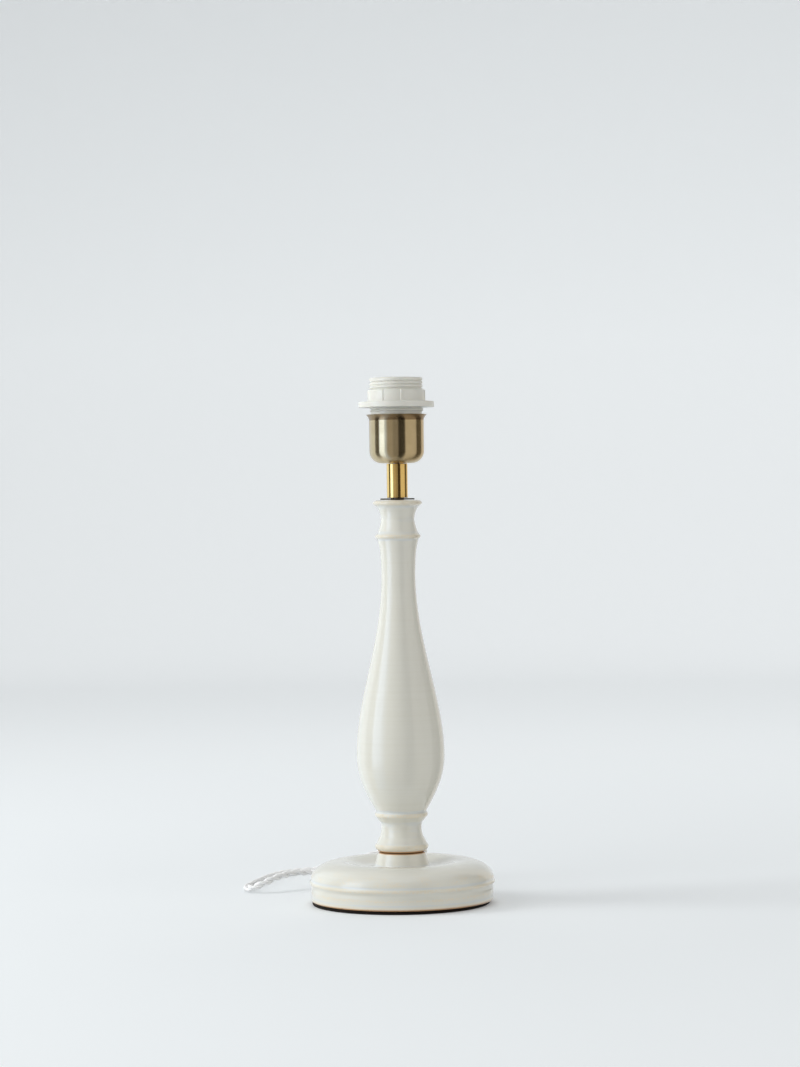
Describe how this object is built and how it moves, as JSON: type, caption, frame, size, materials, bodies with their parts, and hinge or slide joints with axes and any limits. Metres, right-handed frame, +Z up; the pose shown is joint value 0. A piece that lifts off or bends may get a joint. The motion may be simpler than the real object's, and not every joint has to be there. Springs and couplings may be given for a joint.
{
  "type": "table lamp base",
  "caption": "Glazed ceramic table lamp base with a brass neck and cup, a screw lampholder with a shade ring, and a textile cord with switch and plug.",
  "frame": {"origin": "centre of the pad's underside, on the surface that the lamp stands on", "axes": "+Z up along the stem, -Y towards the viewer of the picture, +X to the viewer's right"},
  "size_m": [0.1911, 0.2652, 0.391],
  "materials": {
    "glaze": "glossy cream glaze, thin and tan on the ridges",
    "pad": "dark brown felt",
    "gasket": "matt brown",
    "black_rubber": "matt",
    "bright_brass": "brushed",
    "antique_brass": "brushed, darkened",
    "steel": "zinc plated",
    "nickel": "nickel plated",
    "white_plastic": "creamy white, satin",
    "contact_block": "unglazed white",
    "textile": "white braided sleeve, two strands twisted"
  },
  "bodies": {
    "lamp": {"foot_pad": "pad", "foot": "glaze", "cord_bush": "black_rubber", "bush_nut": "black_rubber", "seam_gasket": "gasket", "stem": "glaze", "threaded_tube": "steel", "foot_washer": "steel", "lock_washer": "steel", "foot_nut": "steel", "top_washer": "black_rubber", "neck_tube": "bright_brass", "cup": "antique_brass", "cup_nut": "steel", "holder_cap": "white_plastic", "holder_barrel": "white_plastic", "contact_block": "contact_block", "screw_shell": "nickel", "terminal_screw_1": "bright_brass", "terminal_screw_2": "bright_brass", "lead_live": "textile", "lead_neutral": "textile", "inner_cord": "textile", "cord_to_switch": "textile", "switch_lower": "white_plastic", "switch_upper": "white_plastic", "switch_contact_1": "bright_brass", "switch_contact_2": "bright_brass", "cord_to_coil": "textile", "cord_coil": "textile", "coil_tie": "white_plastic", "cord_to_plug": "textile", "plug_body": "white_plastic", "plug_pin_1": "nickel", "plug_pin_2": "nickel"},
    "shade_ring": {"shade_ring": "white_plastic"},
    "centre_contact": {"centre_contact": "bright_brass"},
    "rocker": {"switch_rocker": "white_plastic"}
  },
  "joints": [
    {"name": "ring_travel", "type": "slide", "parent": "lamp", "child": "shade_ring", "axis": [0, 0, 1], "range_m": [-0.005, 0.0221]},
    {"name": "contact_press", "type": "hinge", "parent": "lamp", "child": "centre_contact", "pos_m": [-0.006, 0, 0.3623], "axis": [0, 1, 0], "range_deg": [0, 7], "stiffness_Nm_per_rad": 0.05},
    {"name": "rocker_press", "type": "hinge", "parent": "lamp", "child": "rocker", "pos_m": [0.006, 0.085, 0.014], "axis": [0, 1, 0], "range_deg": [-12, 0]}
  ]
}
